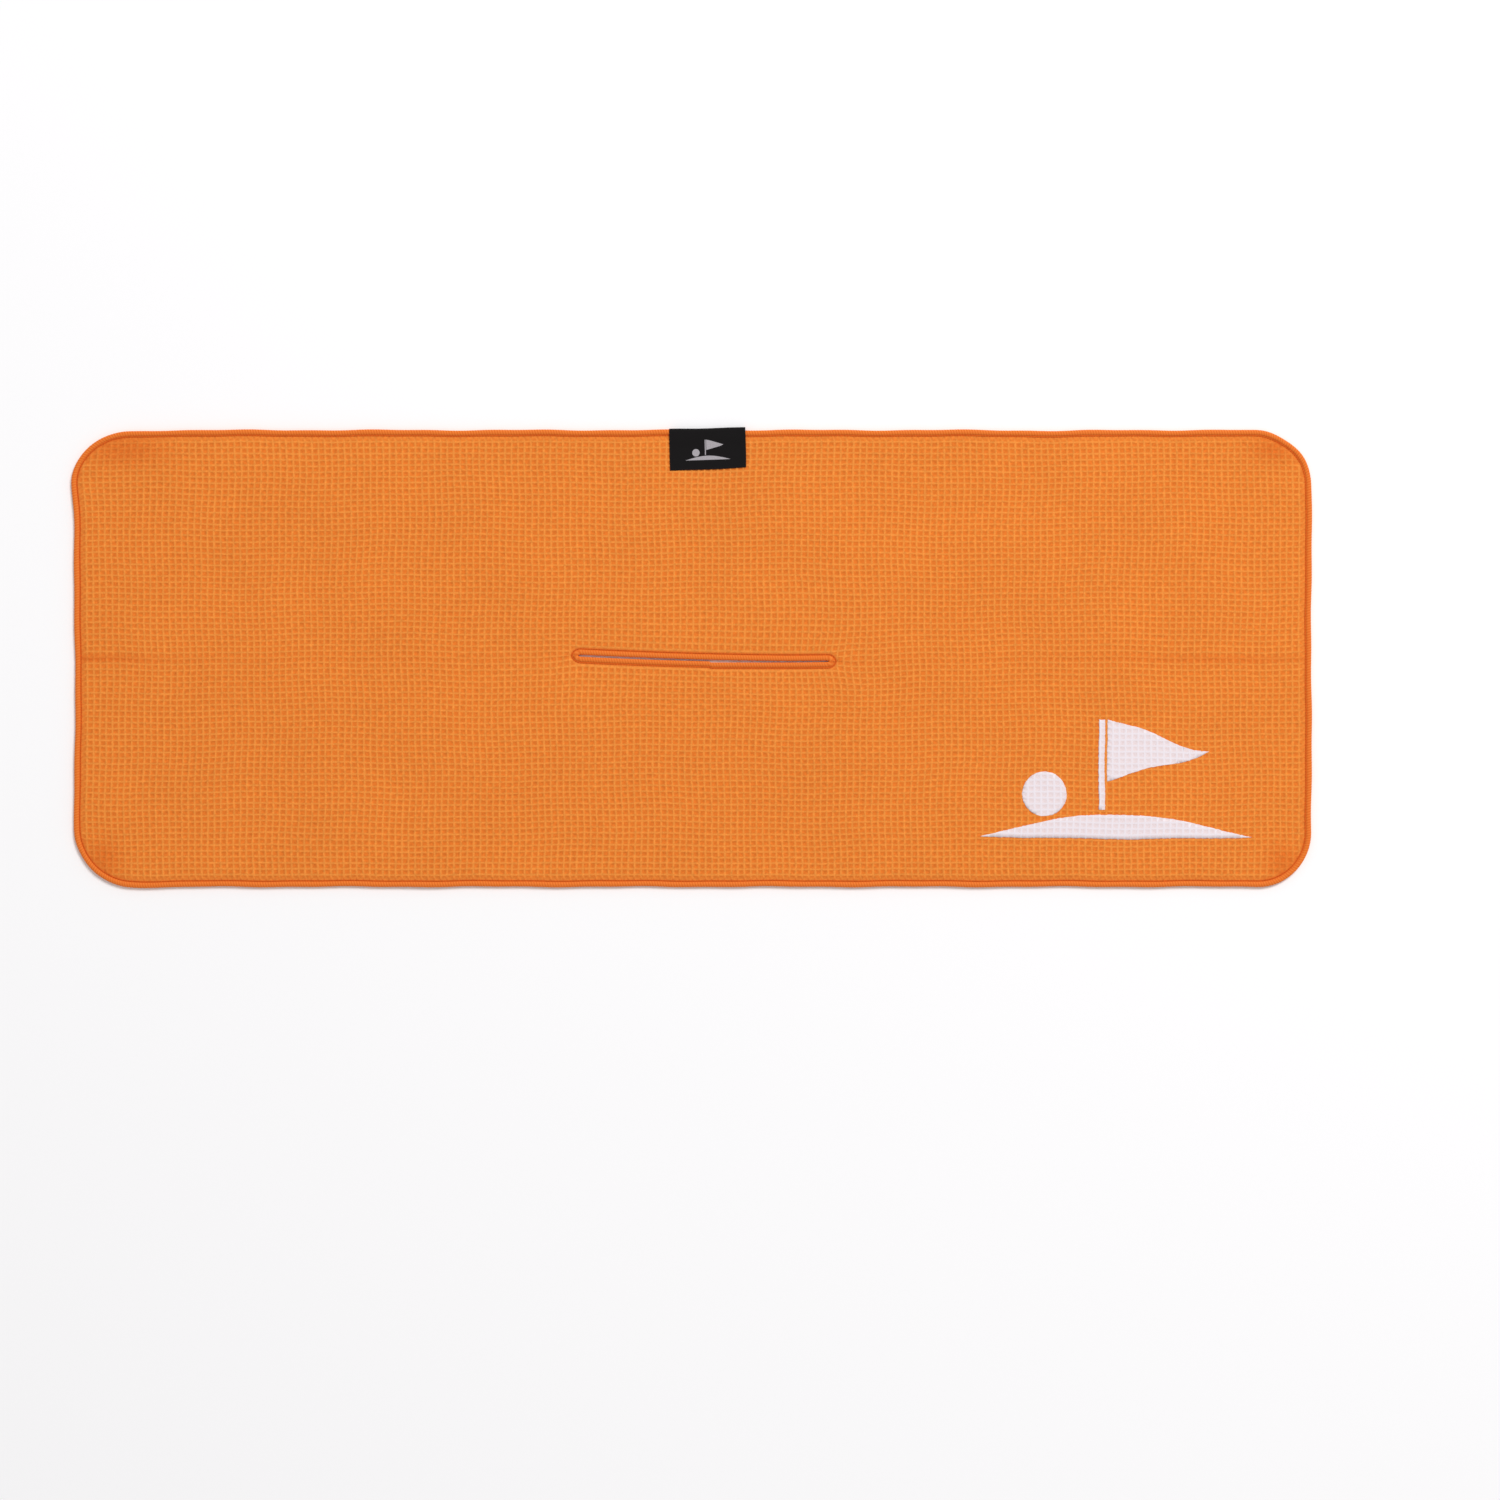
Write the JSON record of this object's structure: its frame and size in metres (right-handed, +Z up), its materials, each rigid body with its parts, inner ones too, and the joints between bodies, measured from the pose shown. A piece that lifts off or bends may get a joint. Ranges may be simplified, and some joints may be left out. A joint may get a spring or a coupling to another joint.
{
  "type": "golf towel",
  "caption": "Long two-sided waffle microfibre golf towel with an overlocked club slit, a folded woven label, a care tab and a white golf print; folds in half lengthwise.",
  "frame": {"origin": "centre of the footprint of the whole towel lying flat on its reverse, at the surface it lies on", "axes": "+X along the towel's length towards the end with the print, +Y across its width towards the edge with the woven label, +Z up, out of the plain face"},
  "size_m": [1.016, 0.3766, 0.0057],
  "materials": {
    "microfibre_orange": "matte waffle-weave microfibre",
    "microfibre_checker": "matte waffle-weave microfibre, printed in orange and white checks",
    "overlock_thread": "soft bulked polyester thread",
    "needle_thread": "polyester sewing thread",
    "woven_label_black": "fine damask weave",
    "label_thread": "polyester sewing thread",
    "tab_satin": "white printed satin tape",
    "print_film": "white heat-transfer film, soft sheen"
  },
  "bodies": {
    "upper_half": {"front_ply_upper": "microfibre_orange", "back_ply_upper": "microfibre_checker", "edge_overlock_upper": "overlock_thread", "slit_overlock_upper": "overlock_thread", "edge_needle_thread_upper": "needle_thread", "slit_needle_thread_upper": "needle_thread", "woven_label": "woven_label_black", "label_stitching": "label_thread"},
    "lower_half": {"front_ply_lower": "microfibre_orange", "back_ply_lower": "microfibre_checker", "edge_overlock_lower": "overlock_thread", "slit_overlock_lower": "overlock_thread", "edge_needle_thread_lower": "needle_thread", "slit_needle_thread_lower": "needle_thread", "print_green": "print_film", "print_pin": "print_film", "print_flag": "print_film", "print_ball": "print_film"},
    "care_tab_flap": {"care_tab": "tab_satin"}
  },
  "joints": [
    {"name": "lengthwise_fold", "type": "hinge", "parent": "upper_half", "child": "lower_half", "pos_m": [0, 0, 0.00545], "axis": [-1, 0, 0], "range_deg": [0, 179.5]},
    {"name": "care_tab_turn", "type": "hinge", "parent": "lower_half", "child": "care_tab_flap", "pos_m": [0.5031, -0.1205, -0.00015], "axis": [0, -1, 0], "range_deg": [0, 170]}
  ]
}
